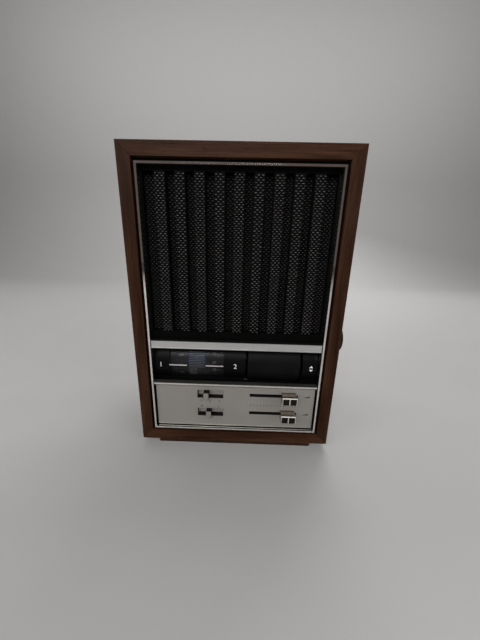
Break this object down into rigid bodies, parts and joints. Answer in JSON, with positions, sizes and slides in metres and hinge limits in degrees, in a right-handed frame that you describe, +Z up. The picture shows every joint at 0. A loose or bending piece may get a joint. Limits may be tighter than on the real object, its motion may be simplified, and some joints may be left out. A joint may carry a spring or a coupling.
{
  "type": "table radio",
  "caption": "Upright table radio with a wood-grain cabinet, a framed ribbed grille, a drum dial with a thumb roller, and slide controls and switches.",
  "frame": {"origin": "centre of the cabinet in width and depth, on the plane that the plinth stands on", "axes": "+X to the right seen from the front, +Y from the front into the cabinet, +Z up"},
  "size_m": [0.197, 0.1368, 0.265],
  "materials": {
    "walnut": "satin wood-grain boards",
    "dark_board": "painted board",
    "pine": "raw softwood",
    "hardboard": "dark hardboard",
    "baffle_board": "raw hardboard",
    "screw_steel": "zinc plated",
    "black_rubber": "matte",
    "black_moulding": "fine satin moulding",
    "bright_metal": "polished",
    "brushed_strip": "brushed along its length",
    "silver_panel": "satin silver",
    "clear_plastic": "clear gloss",
    "drum_black": "gloss with a printed scale",
    "roller_black": "satin",
    "knob_black": "satin",
    "shaft_steel": "ground",
    "gear_nylon": "black nylon",
    "bracket_steel": "zinc plated sheet",
    "capacitor_case": "moulded case",
    "brass_bush": "turned",
    "knob_chrome": "plated plastic",
    "knob_inlay": "gloss black",
    "lever_black": "moulded",
    "speaker_steel": "pressed sheet",
    "cone_paper": "pressed paper",
    "magnet_ferrite": "ferrite and steel",
    "phenolic": "brown phenolic",
    "pillar_nylon": "natural nylon",
    "chip_black": "moulded",
    "can_sleeve": "shrink sleeve",
    "lamination": "laminated steel",
    "coil_tape": "wrapped winding",
    "ferrite": "fired ferrite",
    "litz": "covered wire winding"
  },
  "bodies": {
    "housing": {"cabinet_top": "walnut", "cabinet_bottom": "walnut", "cabinet_side_left": "walnut", "cabinet_side_right": "walnut", "base_plinth": "dark_board", "corner_blocks": "pine", "rear_cover": "hardboard", "speaker_baffle": "baffle_board", "wood_screws": "screw_steel", "chassis_screws": "screw_steel", "cord_gland": "black_rubber", "front_frame": "black_moulding", "dial_panel": "black_moulding", "grille_panel": "black_moulding", "bezel_frame": "bright_metal", "divider_trim": "bright_metal", "dial_pointers": "bright_metal", "trim_strip": "brushed_strip", "control_panel": "silver_panel", "dial_lens": "clear_plastic", "shaft_bracket_left": "bracket_steel", "shaft_bracket_right": "bracket_steel", "tone_pot_body": "bracket_steel", "volume_pot_body": "bracket_steel", "band_switch_body": "bracket_steel", "power_switch_body": "bracket_steel", "if_cans": "bracket_steel", "tuning_capacitor": "capacitor_case", "knob_bush": "brass_bush", "speaker_frame": "speaker_steel", "speaker_cone": "cone_paper", "speaker_dust_cap": "cone_paper", "speaker_magnet": "magnet_ferrite", "circuit_board": "phenolic", "board_pillars": "pillar_nylon", "ferrite_clips": "pillar_nylon", "integrated_circuit": "chip_black", "filter_capacitors": "can_sleeve", "transformer_core": "lamination", "transformer_coil": "coil_tape", "ferrite_rod": "ferrite", "ferrite_coil": "litz"},
    "tuning_drum": {"dial_drum": "drum_black", "tuning_roller": "roller_black", "drum_shaft": "shaft_steel", "drum_gear": "gear_nylon"},
    "tuning_knob": {"knob_shaft": "shaft_steel", "knob_pinion": "gear_nylon", "tuning_knob": "knob_black"},
    "tone_slider": {"tone_lever": "lever_black", "tone_knob": "knob_chrome", "tone_knob_inlays": "knob_inlay"},
    "volume_slider": {"volume_lever": "lever_black", "volume_knob": "knob_chrome", "volume_knob_inlays": "knob_inlay"},
    "band_switch": {"band_switch_lever": "lever_black", "band_switch_cap": "knob_chrome"},
    "power_switch": {"power_switch_lever": "lever_black", "power_switch_cap": "knob_chrome"}
  },
  "joints": [
    {"name": "drum_turn", "type": "hinge", "parent": "housing", "child": "tuning_drum", "pos_m": [0, -0.0385, 0.08515], "axis": [1, 0, 0], "range_deg": [-90, 90]},
    {"name": "knob_turn", "type": "hinge", "parent": "housing", "child": "tuning_knob", "pos_m": [0, -0.02576, 0.10477], "axis": [1, 0, 0], "range_deg": [-271, 271]},
    {"name": "tone_slide", "type": "slide", "parent": "housing", "child": "tone_slider", "axis": [1, 0, 0], "range_m": [-0.0335, 0.006]},
    {"name": "volume_slide", "type": "slide", "parent": "housing", "child": "volume_slider", "axis": [1, 0, 0], "range_m": [-0.0335, 0.006]},
    {"name": "band_switch_slide", "type": "slide", "parent": "housing", "child": "band_switch", "axis": [1, 0, 0], "range_m": [-0.0057, 0.0129]},
    {"name": "power_switch_slide", "type": "slide", "parent": "housing", "child": "power_switch", "axis": [1, 0, 0], "range_m": [-0.008, 0.0106]}
  ],
  "couplings": [
    {"joint": "knob_turn", "follows": "drum_turn", "ratio": -3}
  ]
}
